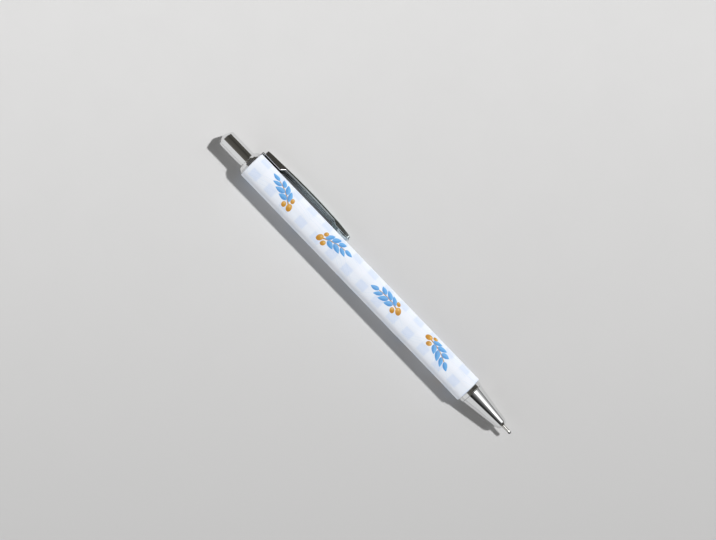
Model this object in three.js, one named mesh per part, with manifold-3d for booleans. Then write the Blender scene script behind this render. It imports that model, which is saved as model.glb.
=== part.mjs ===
// A click ballpoint pen, as an assembly of its separate pieces. Millimetres, +Z up.
//
// The pen lies on a flat surface at z = 0, along X, with its writing point towards +X and its clip on the +Y side.
// It is drawn as it writes: the point is out. The origin is on the line where the barrel rests, under the pen's
// middle. Inside the file each piece is placed by "p", its distance from the top of the push button along the pen.
import * as THREE from "three";
import { mergeVertices } from "three/addons/utils/BufferGeometryUtils.js";
import Module from "manifold-3d";

const wasm = await Module();
wasm.setup();

// ---------------------------------------------------------------- driving dimensions
const LENGTH = 140.0; // top of the button to the ball, with the point out
const BARREL_R = 5.0; // the printed barrel's radius, to its flats
const SLEEVE_SIDES = 48; // flats round the printed sleeve
const SIDES = 32; // flats round the other round pieces
const STROKE = 5.0; // how far the point goes back when it is clicked in
const OVERTRAVEL = 1.2; // how far the button still goes in when the point is out

const BUTTON_R = 3.12;
const BUTTON_END = 17.5; // inner end of the button's metal shell

const COLLAR_TOP = 11.7; // outer face of the top collar
const COLLAR_FOOT = 13.3; // its inner face, against the clip's ring
const COLLAR_R = 4.7;
const COLLAR_BORE = 3.25; // guides the button
const COLLAR_SPIGOT_END = 17.0;
const RING_FROM = 13.35; // the clip's mounting ring
const RING_TO = 13.7;
const BARREL_FROM = 13.75;
const BARREL_TO = 119.35;
const TUBE_R_IN = 4.0;
const TUBE_R_OUT = 4.6;
const SLEEVE_R_IN = 4.65;

const GUIDE_FROM = 17.15; // cam guide, a plastic sleeve inside the barrel
const GUIDE_TO = 44.0;
const GUIDE_R_OUT = 3.92;
const GROOVE_R = 3.55; // floor of the guide's four grooves
const RIB_R = 2.62; // inner face of the guide's four ribs
const RIB_FROM = 19.0;
const CAM_LAND = 33.6; // where the rotor's fins land when the point is out
const FIN_HALF = 13.5; // half the angle of a rotor fin, degrees
const TURN_PER_MM = 45 / STROKE; // the rotor turns one tooth, 45 degrees, over the stroke

const REFILL_LENGTH = 107; // a common slim refill
const REFILL_FROM = LENGTH - REFILL_LENGTH;
const REFILL_R = 1.5;
const SEAT_AT = 112.2; // the spring's seat on the refill
const NOSE_SHOULDER = 130.5; // the spring's seat in the nose
const BALL_R = 0.5;

const NOSE_RING_FROM = 119.45;
const NOSE_RING_TO = 120.95;
const NOSE_FROM = 121.05;
const NOSE_TO = 136.35;
const NOSE_R = 4.15;
const NOSE_TAPER = 0.15; // the cone loses this much radius per millimetre
const THREAD_PITCH = 1.0;
const THREAD_R = 3.3; // root of the nose's thread
const THREAD_FROM = 115.4;
const THREAD_TO = 118.4;
const THREAD_STEPS = 16; // flats in one turn of a thread
const INSERT_FROM = 114.4; // the brass insert's inner end

const CLIP_SHEET = 0.45; // thickness of the clip's spring steel
const CLIP_ROOT = 14.2;
const CLIP_TIP = 54.95;
const TAB_R = 5.55; // how far the ring's tab stands out, where the clip bends from it

// ---------------------------------------------------------------- helpers
// A closed three.js geometry as a solid that can be cut and joined.
function solid(geometry) {
  const g = geometry.clone();
  for (const name of ["normal", "uv"]) if (g.getAttribute(name)) g.deleteAttribute(name);
  const m = mergeVertices(g, 1e-4);
  return new wasm.Manifold(
    new wasm.Mesh({
      numProp: 3,
      vertProperties: new Float32Array(m.attributes.position.array),
      triVerts: new Uint32Array(m.index.array),
    }),
  );
}

function geometryOf(body) {
  const m = body.getMesh();
  const n = m.numProp;
  const v = new Float32Array(m.numVert * 3);
  for (let i = 0; i < m.numVert; i++) v.set(m.vertProperties.subarray(i * n, i * n + 3), i * 3);
  const g = new THREE.BufferGeometry();
  g.setAttribute("position", new THREE.BufferAttribute(v, 3));
  g.setIndex(new THREE.BufferAttribute(new Uint32Array(m.triVerts), 1));
  return g;
}

// A profile of [p, r] points turned round the pen's axis, which is X. It starts and ends on the axis, or is closed here.
function turned(profile, sides = SIDES) {
  const make = (points) => {
    const open = points[0][1] === 0 && points[points.length - 1][1] === 0;
    const list = open ? points : [...points, points[0]];
    const g = new THREE.LatheGeometry(
      list.map(([p, r]) => new THREE.Vector2(r, p)),
      sides,
      Math.PI / sides, // a flat, and not an edge, faces straight down
    );
    g.rotateZ(-Math.PI / 2);
    return solid(g);
  };
  const made = make(profile);
  return made.volume() > 0 ? made : make([...profile].reverse());
}

// The corner radius that puts a polygon's flats at r.
const overFlats = (r, sides = SIDES) => r / Math.cos(Math.PI / sides);

// A straight extrusion of a shape drawn in (p, n) or (p, t), centred across its depth.
function slab(points, depth) {
  const shape = new THREE.Shape(points.map(([x, y]) => new THREE.Vector2(x, y)));
  const g = new THREE.ExtrudeGeometry(shape, { depth, bevelEnabled: false });
  g.translate(0, 0, -depth / 2);
  return g;
}

// A right-handed helix round X. Its frames point straight out from the axis, so a thread's section doesn't twist.
class Helix extends THREE.Curve {
  constructor(radius, pitch, from, to, phase = 0) {
    super();
    Object.assign(this, { radius, pitch, from, to, phase });
  }
  angle(t) {
    return this.phase + ((this.from + (this.to - this.from) * t) * 2 * Math.PI) / this.pitch;
  }
  getPoint(t, target = new THREE.Vector3()) {
    const a = this.angle(t);
    return target.set(
      this.from + (this.to - this.from) * t,
      this.radius * Math.cos(a),
      this.radius * Math.sin(a),
    );
  }
  computeFrenetFrames(segments) {
    const tangents = [];
    const normals = [];
    const binormals = [];
    for (let i = 0; i <= segments; i++) {
      const a = this.angle(i / segments);
      const t = new THREE.Vector3(
        this.pitch / (2 * Math.PI * this.radius),
        -Math.sin(a),
        Math.cos(a),
      ).normalize();
      const n = new THREE.Vector3(0, Math.cos(a), Math.sin(a));
      tangents.push(t);
      normals.push(n);
      binormals.push(new THREE.Vector3().crossVectors(t, n));
    }
    return { tangents, normals, binormals };
  }
}

// A section swept along a curve.
function swept(points, curve, steps) {
  const shape = new THREE.Shape(points.map(([x, y]) => new THREE.Vector2(x, y)));
  return solid(new THREE.ExtrudeGeometry(shape, { steps, extrudePath: curve, bevelEnabled: false }));
}

// A block between two angles and two radii, whose ends may slope with the angle. Angles in degrees, from +Y to +Z.
function sector(a0, a1, r0, r1, from, to, steps = 6) {
  const at = (a, r, p) => [p, r * Math.cos((a * Math.PI) / 180), r * Math.sin((a * Math.PI) / 180)];
  const v = [];
  const idx = [];
  for (let i = 0; i <= steps; i++) {
    const a = a0 + ((a1 - a0) * i) / steps;
    v.push(...at(a, r0, from(a)), ...at(a, r1, from(a)), ...at(a, r1, to(a)), ...at(a, r0, to(a)));
  }
  const quad = (a, b, c, d) => idx.push(a, b, c, a, c, d);
  for (let i = 0; i < steps; i++) {
    const k = i * 4;
    for (let j = 0; j < 4; j++) quad(k + j, k + 4 + j, k + 4 + ((j + 1) % 4), k + ((j + 1) % 4));
  }
  quad(0, 1, 2, 3);
  quad(steps * 4 + 3, steps * 4 + 2, steps * 4 + 1, steps * 4);
  const g = new THREE.BufferGeometry();
  g.setAttribute("position", new THREE.BufferAttribute(new Float32Array(v), 3));
  g.setIndex(idx);
  const made = solid(g);
  if (made.volume() > 0) return made;
  const flipped = [];
  for (let i = 0; i < idx.length; i += 3) flipped.push(idx[i], idx[i + 2], idx[i + 1]);
  g.setIndex(flipped);
  return solid(g);
}

const looks = {
  chrome: { color: 0xc9cbcf, roughness: 0.08, metalness: 1 },
  printed: { color: 0xeef3fb, roughness: 0.35, metalness: 0 },
  aluminium: { color: 0xb9bcc0, roughness: 0.35, metalness: 1 },
  spring: { color: 0x9a9ca0, roughness: 0.25, metalness: 1 },
  acetal: { color: 0xf1efe8, roughness: 0.45, metalness: 0 },
  cam: { color: 0xd9d6cc, roughness: 0.4, metalness: 0 },
  brass: { color: 0xc9a450, roughness: 0.3, metalness: 1 },
  tube: { color: 0xe6e8ea, roughness: 0.25, metalness: 0 },
  ink: { color: 0x14141a, roughness: 0.3, metalness: 0 },
  point: { color: 0xbdbdb8, roughness: 0.22, metalness: 1 },
  carbide: { color: 0x8d8f93, roughness: 0.15, metalness: 1 },
};

// A named mesh placed so that its own zero is at p = at.
function piece(name, body, look, at = 0) {
  const g = geometryOf(body);
  g.translate(-at, 0, 0);
  const mesh = new THREE.Mesh(g, new THREE.MeshStandardMaterial(looks[look]));
  mesh.name = name;
  mesh.position.set(at, 0, 0);
  return mesh;
}

const pen = new THREE.Group();
pen.name = "pen";
pen.position.set(-LENGTH / 2, 0, BARREL_R);

// ---------------------------------------------------------------- barrel
const barrel = new THREE.Group();
pen.add(barrel);

// The printed sleeve: its flats lie at BARREL_R, and one faces straight down, which the pen rests on.
const rOut = overFlats(BARREL_R, SLEEVE_SIDES);
barrel.add(
  piece(
    "printed_sleeve",
    turned(
      [
        [BARREL_FROM, SLEEVE_R_IN],
        [BARREL_TO, SLEEVE_R_IN],
        [BARREL_TO, rOut - 0.12],
        [BARREL_TO - 0.12, rOut],
        [BARREL_FROM + 0.12, rOut],
        [BARREL_FROM, rOut - 0.12],
      ],
      SLEEVE_SIDES,
    ),
    "printed",
    BARREL_FROM,
  ),
);

barrel.add(
  piece(
    "barrel_tube",
    turned([
      [BARREL_FROM + 0.05, TUBE_R_IN],
      [BARREL_TO - 0.1, TUBE_R_IN],
      [BARREL_TO - 0.1, TUBE_R_OUT],
      [BARREL_FROM + 0.05, TUBE_R_OUT],
    ]),
    "aluminium",
    BARREL_FROM,
  ),
);

// Top collar: a chamfered ring with a spigot that is pressed into the tube, and a bore that guides the button.
barrel.add(
  piece(
    "top_collar",
    turned([
      [COLLAR_TOP, 3.35],
      [COLLAR_TOP, 3.5],
      [COLLAR_TOP + 0.13, 3.76],
      [COLLAR_TOP + 0.5, 4.16],
      [COLLAR_TOP + 0.95, 4.46],
      [COLLAR_TOP + 1.4, 4.66],
      [COLLAR_FOOT, COLLAR_R],
      [COLLAR_FOOT, 3.92],
      [COLLAR_SPIGOT_END - 0.3, 3.92],
      [COLLAR_SPIGOT_END, 3.7],
      [COLLAR_SPIGOT_END, COLLAR_BORE],
      [COLLAR_TOP + 0.1, COLLAR_BORE],
    ]),
    "chrome",
    COLLAR_TOP,
  ),
);

// Cam guide: a sleeve with four ribs. Each rib's front end is a steep ramp that the rotor's fins slide along,
// so that a fin lands on the rib with the point out, and drops into the groove beside it with the point in.
const ramp = (centre) => (a) => CAM_LAND - 0.12 + (a - centre - FIN_HALF) / TURN_PER_MM;
let guide = turned([
  [GUIDE_FROM, GROOVE_R],
  [GUIDE_TO - 0.5, GROOVE_R],
  [GUIDE_TO, GROOVE_R + 0.12],
  [GUIDE_TO, GUIDE_R_OUT - 0.1],
  [GUIDE_TO - 0.3, GUIDE_R_OUT],
  [GUIDE_FROM + 0.3, GUIDE_R_OUT],
  [GUIDE_FROM, GUIDE_R_OUT - 0.1],
]);
for (let k = 0; k < 4; k++) {
  const centre = 90 * k;
  guide = guide.add(
    sector(
      centre - 21.5,
      centre + FIN_HALF,
      RIB_R,
      GROOVE_R + 0.15,
      () => RIB_FROM,
      ramp(centre),
      8,
    ),
  );
  guide = guide.add(
    sector(
      centre + FIN_HALF - 0.5,
      centre + 21.5,
      RIB_R,
      GROOVE_R + 0.15,
      () => RIB_FROM,
      () => CAM_LAND - 0.12,
      2,
    ),
  );
}
barrel.add(piece("cam_guide", guide, "acetal", GUIDE_FROM));

// Front bushing: a brass insert whose thread takes the nose.
let bushing = turned(
  [
    [INSERT_FROM, 3.42],
    [119.2, 3.42],
    [119.2, 3.9],
    [INSERT_FROM + 0.3, 3.9],
    [INSERT_FROM, 3.75],
  ],
  32,
);
bushing = bushing.subtract(
  swept(
    [
      [-0.3, -0.46],
      [0.38, -0.19],
      [0.38, 0.19],
      [-0.3, 0.46],
    ],
    new Helix(THREAD_R, THREAD_PITCH, THREAD_FROM - 2, THREAD_FROM + 5, 0),
    7 * THREAD_STEPS,
  ),
);
barrel.add(piece("front_bushing", bushing, "brass", INSERT_FROM));

// ---------------------------------------------------------------- clip
// Drawn in its own frame: n points out from the pen's axis through the clip, and t is across it. The clip is a
// pressed channel: a bowed plate with a side wall along each edge. The walls are deep at its root and at its end, and
// only low rims along the blade. Rows: p, n of the plate's outer face, half width, n of the walls' lower edge.
const CLIP_ROWS = [
  [CLIP_ROOT, 6.85, 2.4, 5.25],
  [CLIP_ROOT + 0.2, 7.08, 2.47, 5.25],
  [15.0, 7.2, 2.49, 5.25],
  [17.0, 7.36, 2.44, 5.25],
  [19.5, 7.5, 2.39, 5.25],
  [21.8, 7.64, 2.33, 5.25],
  [22.5, 7.72, 2.3, 6.03],
  [23.2, 7.8, 2.27, 6.82],
  [26.0, 8.01, 2.175, 6.99],
  [29.0, 8.14, 2.125, 7.12],
  [32.0, 8.21, 2.095, 7.2],
  [36.0, 8.24, 2.075, 7.24],
  [40.0, 8.2, 2.065, 7.22],
  [43.0, 8.12, 2.02, 7.16],
  [46.5, 7.98, 1.93, 7.04],
  [47.4, 7.92, 1.88, 6.5],
  [48.2, 7.87, 1.85, 6.05],
  [50.0, 7.73, 1.78, 6.03],
  [52.0, 7.57, 1.7, 6.02],
  [53.5, 7.42, 1.62, 6.02],
  [54.3, 7.29, 1.48, 6.04],
  [54.7, 7.12, 1.28, 6.1],
  [CLIP_TIP, 6.82, 0.97, 6.25],
];
const rowAt = (p) => {
  const rows = CLIP_ROWS;
  if (p <= rows[0][0]) return rows[0];
  for (let i = 1; i < rows.length; i++)
    if (rows[i][0] >= p) {
      const f = (p - rows[i - 1][0]) / (rows[i][0] - rows[i - 1][0]);
      return rows[i].map((v, k) => rows[i - 1][k] + (v - rows[i - 1][k]) * f);
    }
  return rows[rows.length - 1];
};
// A closed bar through sections of equal point count, each a list of points at its own place along the bar.
function lofted(stations, put = (p, [n, t]) => [p, n, t]) {
  const count = stations[0].points.length;
  const v = [];
  const idx = [];
  for (const { at, points } of stations) for (const point of points) v.push(...put(at, point));
  for (let i = 0; i < stations.length - 1; i++)
    for (let j = 0; j < count; j++) {
      const a = i * count + j;
      const b = i * count + ((j + 1) % count);
      idx.push(a, b, b + count, a, b + count, a + count);
    }
  const end = (stations.length - 1) * count;
  const outline = stations[0].points.map(([x, y]) => new THREE.Vector2(x, y));
  const way = Math.sign(THREE.ShapeUtils.area(outline));
  for (const [a, b, c] of THREE.ShapeUtils.triangulateShape(outline, [])) {
    const [j, k] = Math.sign(THREE.ShapeUtils.area([outline[a], outline[b], outline[c]])) === way ? [b, c] : [c, b];
    idx.push(a, k, j, end + a, end + j, end + k);
  }
  const g = new THREE.BufferGeometry();
  g.setAttribute("position", new THREE.BufferAttribute(new Float32Array(v), 3));
  g.setIndex(idx);
  const made = solid(g);
  if (made.volume() > 0) return made;
  const flipped = [];
  for (let i = 0; i < idx.length; i += 3) flipped.push(idx[i], idx[i + 2], idx[i + 1]);
  g.setIndex(flipped);
  return solid(g);
}
// A convex section: flat below, with its two outer corners rounded off by r.
const hump = (low, high, half, r) => [
  [low, -half],
  [high - r, -half],
  [high - 0.29 * r, -half + 0.29 * r],
  [high, -half + r],
  [high, half - r],
  [high - 0.29 * r, half - 0.29 * r],
  [high - r, half],
  [low, half],
];
let clip = lofted(CLIP_ROWS.map(([p, n, w, edge]) => ({ at: p, points: hump(edge, n, w, 0.42) })));
const hollowFrom = CLIP_ROOT + CLIP_SHEET;
const hollowTo = CLIP_TIP - CLIP_SHEET;
const hollowRows = [
  rowAt(hollowFrom).with(0, hollowFrom),
  ...CLIP_ROWS.filter(([p]) => p > hollowFrom + 0.3 && p < hollowTo - 0.15),
  rowAt(hollowTo).with(0, hollowTo),
];
clip = clip.subtract(
  lofted(
    hollowRows.map(([p, n, w]) => ({ at: p, points: hump(4.2, n - CLIP_SHEET, w - CLIP_SHEET, 0.14) })),
  ),
);
// The foot: the blade's end is bent back under itself into a bowed tongue, which presses on the barrel. It is crowned,
// so its two edges stand further from the barrel than its middle.
const FOOT_HALF = 1.3;
const FOOT_CROWN = 0.55;
const footLine = [
  [54.6, 6.4],
  [54.58, 6.12],
  [54.38, 5.72],
  [53.9, 5.34],
  [53.1, 5.14],
  [52.1, 5.08],
  [51.1, 5.14],
  [50.2, 5.34],
  [49.5, 5.68],
  [49.65, 5.98],
  [50.35, 5.68],
  [51.15, 5.5],
  [52.1, 5.44],
  [53.0, 5.5],
  [53.65, 5.7],
  [54.0, 6.02],
  [54.15, 6.4],
];
const foot = lofted(
  [-1, -0.65, -0.25, 0.25, 0.65, 1].map((f) => ({
    at: f * FOOT_HALF,
    points: footLine.map(([p, n]) => [p, n + FOOT_CROWN * f * f]),
  })),
  (t, [p, n]) => [p, n, t],
);
clip = clip.add(foot);
// A short tongue runs back from the root wall to the ring's tab, where the clip bends.
const tongue = slab(
  [
    [RING_TO + 0.2, 5.25],
    [CLIP_ROOT + 0.2, 5.25],
    [CLIP_ROOT + 0.2, 5.65],
    [RING_TO + 0.2, 5.65],
  ],
  3.6,
);
clip = clip.add(solid(tongue));

// The clip's angle round the pen: rolled until its lower edge touches the surface that the barrel lies on.
const clipMesh = clip.getMesh();
const lowest = (angle) => {
  let low = 0;
  for (let i = 0; i < clipMesh.numVert; i++) {
    const n = clipMesh.vertProperties[i * clipMesh.numProp + 1];
    const t = clipMesh.vertProperties[i * clipMesh.numProp + 2];
    low = Math.min(low, n * Math.sin(angle) + t * Math.cos(angle));
  }
  return low;
};
let steep = -Math.PI / 3;
let flat = 0;
for (let i = 0; i < 40; i++) {
  const mid = (steep + flat) / 2;
  if (lowest(mid) < -(BARREL_R - 0.003)) steep = mid;
  else flat = mid;
}
const CLIP_ANGLE = flat;

const clipSide = new THREE.Group();
clipSide.rotation.x = CLIP_ANGLE;
pen.add(clipSide);
clipSide.add(piece("clip", clip, "chrome", CLIP_ROOT));

// The clip's mounting ring, held between the collar and the barrel, with the short tab that the clip bends from.
let ring = turned([
  [RING_FROM, 4.02],
  [RING_TO, 4.02],
  [RING_TO, COLLAR_R],
  [RING_FROM, COLLAR_R],
]);
const tab = slab(
  [
    [RING_FROM, 4.4],
    [RING_TO, 4.4],
    [RING_TO, TAB_R],
    [RING_FROM, TAB_R],
  ],
  3.6,
);
ring = ring.add(solid(tab));
clipSide.add(piece("clip_ring", ring, "chrome", RING_FROM));

// ---------------------------------------------------------------- push button
const button = new THREE.Group();
pen.add(button);
button.add(
  piece(
    "button_shell",
    turned([
      [0, 0],
      [0, 0.5],
      [0.12, 0.9],
      [1.08, BUTTON_R - 0.44],
      [1.3, BUTTON_R - 0.14],
      [1.55, BUTTON_R],
      [BUTTON_END, BUTTON_R],
      [BUTTON_END, 2.6],
      [2.6, 2.6],
      [2.2, 2.35],
      [2.2, 0],
    ]),
    "chrome",
  ),
);

// Button core: pressed into the shell. Four splines keep it from turning in the guide, and stop it against the collar.
const SPLINE_FROM = COLLAR_SPIGOT_END + STROKE + 0.3;
let core = turned([
  [2.5, 0],
  [2.5, 2.0],
  [2.8, 2.5],
  [BUTTON_END - 0.1, 2.5],
  [BUTTON_END + 0.3, 2.4],
  [27.6, 2.4],
  [27.6, 1.5],
  [24.5, 1.5],
  [24.5, 0],
]);
for (let k = 0; k < 4; k++) {
  core = core.add(
    sector(
      90 * k + 45 - 17,
      90 * k + 45 + 17,
      2.2,
      3.44,
      () => SPLINE_FROM,
      () => SPLINE_FROM + 2.4,
      4,
    ),
  );
}
// Crown of eight teeth, which turns the rotor.
for (let k = 0; k < 8; k++) {
  const a = 45 * k + 5;
  core = core.add(
    sector(
      a - 20,
      a + 20,
      1.55,
      2.35,
      () => 27.4,
      (x) => 27.9 + (0.9 * (20 - Math.abs(x - a))) / 20,
      4,
    ),
  );
}
button.add(piece("button_core", core, "acetal", 2.5));

// ---------------------------------------------------------------- rotor
const rotorGroup = new THREE.Group();
pen.add(rotorGroup);
let rotor = turned([
  [29.6, 0],
  [29.6, 2.3],
  [39.0, 2.3],
  [39.6, 2.0],
  [39.6, 1.62],
  [REFILL_FROM - 0.2, 1.62],
  [REFILL_FROM - 0.2, 0],
]);
for (let k = 0; k < 4; k++) {
  const centre = 90 * k;
  rotor = rotor.add(
    sector(
      centre - FIN_HALF,
      centre + FIN_HALF,
      2.1,
      3.38,
      (a) => CAM_LAND + (a - centre - FIN_HALF) / TURN_PER_MM,
      () => 36.6,
      6,
    ),
  );
}
for (let k = 0; k < 8; k++) {
  const a = 45 * k + 27.5;
  rotor = rotor.add(
    sector(
      a - 20,
      a + 20,
      1.55,
      2.25,
      (x) => 29.7 - (0.75 * (20 - Math.abs(x - a))) / 20,
      () => 29.9,
      4,
    ),
  );
}
rotorGroup.add(piece("cam_rotor", rotor, "cam", 29.6));

// ---------------------------------------------------------------- refill
const refill = new THREE.Group();
pen.add(refill);
const THIN = 24;
refill.add(
  piece(
    "refill_tube",
    turned(
      [
        [REFILL_FROM, 1.1],
        [110.9, 1.1],
        [110.9, REFILL_R],
        [REFILL_FROM + 0.2, REFILL_R],
        [REFILL_FROM, REFILL_R - 0.1],
      ],
      THIN,
    ),
    "tube",
    REFILL_FROM,
  ),
);
refill.add(
  piece(
    "ink_column",
    turned(
      [
        [48, 0],
        [48.4, 1.04],
        [106.6, 1.04],
        [106.6, 0],
      ],
      THIN,
    ),
    "ink",
    48,
  ),
);
// Plastic adaptor: a stub in the tube, the flange that the spring presses on, and a socket for the metal point.
refill.add(
  piece(
    "refill_adaptor",
    turned(
      [
        [106.9, 0.45],
        [106.9, 0.9],
        [107.2, 1.05],
        [110.95, 1.05],
        [110.95, 2.0],
        [SEAT_AT - 0.1, 2.0],
        [SEAT_AT, 1.9],
        [SEAT_AT, 1.5],
        [117.4, 1.4],
        [118, 1.3],
        [118, 0.85],
        [113, 0.85],
        [113, 0.45],
      ],
      THIN,
    ),
    "tube",
    106.9,
  ),
);
const BALL_AT = LENGTH - BALL_R;
refill.add(
  piece(
    "refill_point",
    turned(
      [
        [113.1, 0.4],
        [113.1, 0.8],
        [118.05, 0.8],
        [118.05, 1.15],
        [133.1, 1.15],
        [134.6, 0.62],
        [BALL_AT - 0.55, 0.62],
        [BALL_AT + 0.1, 0.585],
        [BALL_AT + 0.28, 0.52],
        [BALL_AT + 0.28, 0.47],
        [BALL_AT + 0.1, 0.545],
        [BALL_AT - 0.35, 0.545],
        [BALL_AT - 0.52, 0.4],
      ],
      THIN,
    ),
    "point",
    113.1,
  ),
);
const ballGeometry = new THREE.SphereGeometry(BALL_R, 16, 10);
ballGeometry.rotateZ(-Math.PI / 2);
const ball = new THREE.Mesh(ballGeometry, new THREE.MeshStandardMaterial(looks.carbide));
ball.name = "writing_ball";
ball.position.set(BALL_AT, 0, 0);
refill.add(ball);

// Return spring, squeezed between the adaptor's flange and the nose's shoulder. Its end coils are closed.
const SPRING_FROM = SEAT_AT + 0.25;
const SPRING_TO = NOSE_SHOULDER - 0.25;
class Spring extends THREE.Curve {
  getPoint(t, target = new THREE.Vector3()) {
    const turns = 12;
    const a = 2 * Math.PI * turns * t;
    const closed = 1.4 / turns; // share of the length in each closed end
    const flatRise = 0.055;
    let s;
    if (t < closed) s = (flatRise * t) / closed;
    else if (t > 1 - closed) s = 1 - (flatRise * (1 - t)) / closed;
    else s = flatRise + ((1 - 2 * flatRise) * (t - closed)) / (1 - 2 * closed);
    return target.set(SPRING_FROM + (SPRING_TO - SPRING_FROM) * s, 1.8 * Math.cos(a), 1.8 * Math.sin(a));
  }
}
const wire = [];
for (let i = 0; i < 5; i++)
  wire.push([0.2 * Math.cos((i * Math.PI) / 2.5), 0.2 * Math.sin((i * Math.PI) / 2.5)]);
pen.add(piece("return_spring", swept(wire, new Spring(), 12 * 12), "spring", SPRING_FROM));

// ---------------------------------------------------------------- nose
const nose = new THREE.Group();
pen.add(nose);
nose.add(
  piece(
    "nose_ring",
    turned([
      [NOSE_RING_FROM, 3.68],
      [NOSE_RING_TO, 3.68],
      [NOSE_RING_TO, 4.31],
      [NOSE_RING_TO - 0.11, 4.43],
      [NOSE_RING_FROM + 0.11, 4.43],
      [NOSE_RING_FROM, 4.31],
    ]),
    "chrome",
    NOSE_RING_FROM,
  ),
);
const outer = (p) => NOSE_R - NOSE_TAPER * (p - NOSE_FROM);
let noseCone = turned(
  [
    [113.8, 2.35],
    [113.8, 3.0],
    [114.1, THREAD_R],
    [119.2, THREAD_R],
    [119.5, 3.5],
    [NOSE_FROM, 3.5],
    [NOSE_FROM, NOSE_R - 0.08],
    [NOSE_FROM + 0.1, NOSE_R],
    [135.2, outer(135.2)],
    [135.75, 1.86],
    [136.1, 1.62],
    [136.29, 1.38],
    [NOSE_TO, 1.15],
    [NOSE_TO, 0.82],
    [135.5, 0.82],
    [135.2, 1.3],
    [NOSE_SHOULDER, 1.3],
    [NOSE_SHOULDER, 2.2],
    [128.5, 2.35],
  ],
  32,
);
noseCone = noseCone.add(
  swept(
    [
      [-0.2, -0.32],
      [0.26, -0.12],
      [0.26, 0.12],
      [-0.2, 0.32],
    ],
    new Helix(THREAD_R, THREAD_PITCH, THREAD_FROM, THREAD_TO, 0),
    (THREAD_TO - THREAD_FROM) * THREAD_STEPS,
  ),
);
nose.add(piece("nose_cone", noseCone, "chrome", 113.8));

export default pen;
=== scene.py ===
"""A click ballpoint pen lying on a pale surface: the finished surfaces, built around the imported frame.

Lengths inside the helpers are millimetres. p runs along the pen from the top of its button, n out from its axis and
t across. The row frame has X = p - 70, the pen's axis at y = 0, z = 5, and the surface it lies on at z = 0.
"""

import math

import bpy
import bmesh
import numpy as np
from mathutils import Matrix, Vector


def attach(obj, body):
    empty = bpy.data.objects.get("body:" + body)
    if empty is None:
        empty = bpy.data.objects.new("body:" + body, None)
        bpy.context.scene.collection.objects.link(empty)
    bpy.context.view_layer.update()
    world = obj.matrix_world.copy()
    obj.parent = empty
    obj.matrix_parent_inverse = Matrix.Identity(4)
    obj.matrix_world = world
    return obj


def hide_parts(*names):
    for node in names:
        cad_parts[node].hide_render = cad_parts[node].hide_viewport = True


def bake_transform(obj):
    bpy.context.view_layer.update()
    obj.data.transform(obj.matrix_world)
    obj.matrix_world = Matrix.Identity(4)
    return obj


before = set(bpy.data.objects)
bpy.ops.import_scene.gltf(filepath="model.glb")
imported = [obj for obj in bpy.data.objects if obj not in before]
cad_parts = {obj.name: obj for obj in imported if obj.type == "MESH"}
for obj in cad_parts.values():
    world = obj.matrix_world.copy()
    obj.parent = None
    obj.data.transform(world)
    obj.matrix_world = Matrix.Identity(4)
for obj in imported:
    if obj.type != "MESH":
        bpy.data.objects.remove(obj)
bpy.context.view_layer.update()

MM = 0.001
HALF = 70.0
AXIS_Z = 5.0
CLIP_ANGLE = math.radians(-23.167)
scene = bpy.context.scene


# ------------------------------------------------------------------ camera
RIGHT = Vector((0.69347, 0.72049, 0.0)).normalized()
UP = Vector((-RIGHT.y, RIGHT.x, 0.0))
cam_data = bpy.data.cameras.new("camera")
cam_data.sensor_width = 36.0
cam_data.lens = 118.9
cam_data.clip_start = 0.01
cam_data.clip_end = 20.0
cam = bpy.data.objects.new("camera", cam_data)
scene.collection.objects.link(cam)
cam.matrix_world = Matrix(
    (
        (RIGHT.x, UP.x, 0.0, -0.00562),
        (RIGHT.y, UP.y, 0.0, 0.00119),
        (0.0, 0.0, 1.0, 0.805),
        (0.0, 0.0, 0.0, 1.0),
    )
)
scene.camera = cam


# ------------------------------------------------------------------ mesh helpers
def place(p, n, t, angle=0.0):
    """The row-frame position, in metres, of a point given by p, n and t, with n and t turned by angle round the axis."""
    c, s = math.cos(angle), math.sin(angle)
    return ((p - HALF) * MM, (n * c - t * s) * MM, (AXIS_Z + n * s + t * c) * MM)


def rounded(points, closed, steps=5):
    """A line of (p, r, fillet) corners as a list of (p, r), with each corner rounded by its fillet radius."""
    out = []
    count = len(points)
    for i, corner in enumerate(points):
        here = np.array(corner[:2], float)
        radius = corner[2] if len(corner) > 2 else 0.0
        if radius <= 0 or (not closed and i in (0, count - 1)):
            out.append(tuple(here))
            continue
        before = np.array(points[i - 1][:2], float) - here
        after = np.array(points[(i + 1) % count][:2], float) - here
        la, lb = np.linalg.norm(before), np.linalg.norm(after)
        u, v = before / la, after / lb
        half = math.acos(max(-1.0, min(1.0, float(u @ v)))) / 2
        if half > math.pi / 2 - 0.01:
            out.append(tuple(here))
            continue
        reach = min(radius / math.tan(half), 0.42 * la, 0.42 * lb)
        radius = reach * math.tan(half)
        mid = (u + v) / np.linalg.norm(u + v)
        centre = here + mid * radius / math.sin(half)
        a = here + u * reach - centre
        b = here + v * reach - centre
        sweep = math.acos(max(-1.0, min(1.0, float(a @ b) / (np.linalg.norm(a) * np.linalg.norm(b)))))
        spare = min(0.3 * reach, 0.05 * la, 0.05 * lb)
        out.append(tuple(here + u * (reach + spare)))
        for k in range(steps + 1):
            f = k / steps
            out.append(tuple(centre + (a * math.sin((1 - f) * sweep) + b * math.sin(f * sweep)) / math.sin(sweep)))
        out.append(tuple(here + v * (reach + spare)))
    return out


def new_object(name, verts, faces, sharp=None):
    mesh = bpy.data.meshes.new(name)
    mesh.from_pydata(verts, [], faces)
    bm = bmesh.new()
    bm.from_mesh(mesh)
    bmesh.ops.remove_doubles(bm, verts=bm.verts, dist=2e-8)
    bmesh.ops.recalc_face_normals(bm, faces=bm.faces)
    bm.to_mesh(mesh)
    bm.free()
    mesh.shade_smooth()
    if sharp is not None:
        mesh.set_sharp_from_angle(angle=math.radians(sharp))
    obj = bpy.data.objects.new(name, mesh)
    scene.collection.objects.link(obj)
    return obj


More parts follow.
